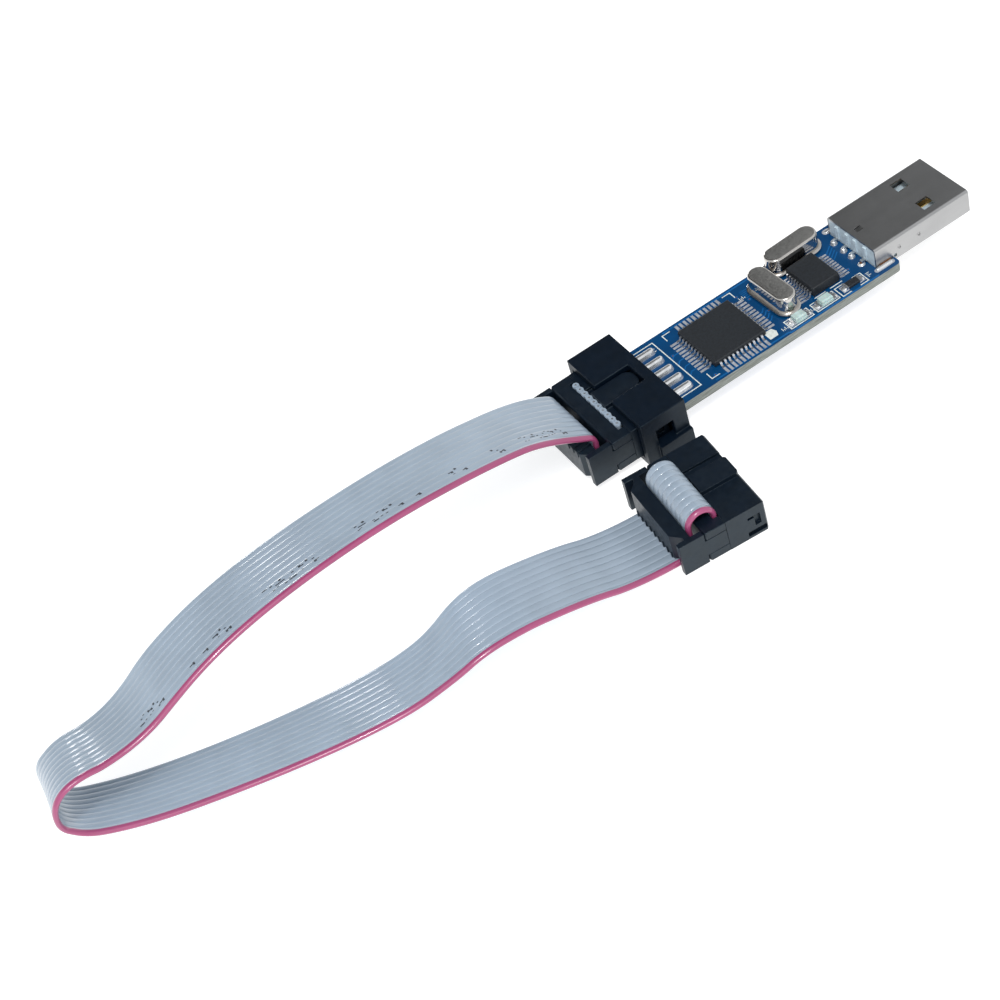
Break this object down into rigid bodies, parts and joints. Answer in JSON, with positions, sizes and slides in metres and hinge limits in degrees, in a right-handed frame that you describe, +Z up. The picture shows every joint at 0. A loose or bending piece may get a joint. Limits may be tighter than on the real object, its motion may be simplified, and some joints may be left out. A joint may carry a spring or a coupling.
{
  "type": "usb microcontroller programmer",
  "caption": "Bare-board USB programmer stick: USB-A plug, controller and bridge chips, keyed shrouded header, and a folded ribbon cable with a keyed socket at each end.",
  "frame": {"origin": "under the middle of the board and the plugged-in socket, at the level of the table that the header rests on", "axes": "+X along the board towards the USB plug, +Z up out of the component side, +Y to the side away from the LEDs"},
  "size_m": [0.1699, 0.0437, 0.0228],
  "materials": {
    "board_laminate": "blue solder mask over glass-epoxy laminate, pale bare edge",
    "plug_steel": "satin nickel-plated steel sheet",
    "white_plastic": "pale translucent moulding",
    "gold_plate": "thin gold plate",
    "solder": "bright reflowed solder",
    "mould_compound": "black epoxy with fine grain",
    "tinned_lead": "matt tin plate",
    "nickel_can": "nickel-plated can, mirror sides and matt top",
    "quartz": "clear quartz with thin electrodes",
    "led_resin": "clear to pale resin on a white base",
    "resistor_glaze": "black glaze on ceramic",
    "capacitor_ceramic": "tan ceramic with tinned ends",
    "black_plastic": "black glass-filled nylon, satin",
    "ribbon_grey": "grey-blue PVC with one pink edge conductor"
  },
  "bodies": {
    "board": {"circuit_board": "board_laminate", "usb_shell": "plug_steel", "usb_insulator": "white_plastic", "usb_contacts": "gold_plate", "usb_solder_joints": "solder", "controller_body": "mould_compound", "controller_leads": "tinned_lead", "usb_bridge_body": "mould_compound", "usb_bridge_leads": "tinned_lead", "crystal_a_base": "nickel_can", "crystal_a_can": "nickel_can", "crystal_a_leads": "tinned_lead", "crystal_a_blank": "quartz", "crystal_b_base": "nickel_can", "crystal_b_can": "nickel_can", "crystal_b_leads": "tinned_lead", "crystal_b_blank": "quartz", "led_a_body": "led_resin", "led_a_terminals": "tinned_lead", "led_b_body": "led_resin", "led_b_terminals": "tinned_lead", "resistor_body": "resistor_glaze", "resistor_terminals": "tinned_lead", "underside_capacitors": "capacitor_ceramic", "underside_resistors": "resistor_glaze", "header_shroud": "black_plastic", "header_pins": "gold_plate", "header_solder_joints": "solder"},
    "cable": {"socket_a_body": "black_plastic", "socket_a_contacts": "gold_plate", "socket_a_cover": "black_plastic", "socket_a_strain_relief": "black_plastic", "ribbon_fold_a": "ribbon_grey", "ribbon": "ribbon_grey", "ribbon_fold_b": "ribbon_grey", "socket_b_body": "black_plastic", "socket_b_contacts": "gold_plate", "socket_b_cover": "black_plastic", "socket_b_strain_relief": "black_plastic"}
  },
  "joints": [
    {"name": "socket_slide", "type": "slide", "parent": "board", "child": "cable", "axis": [-1, 0, 0], "range_m": [-0.0002, 0.01]}
  ]
}
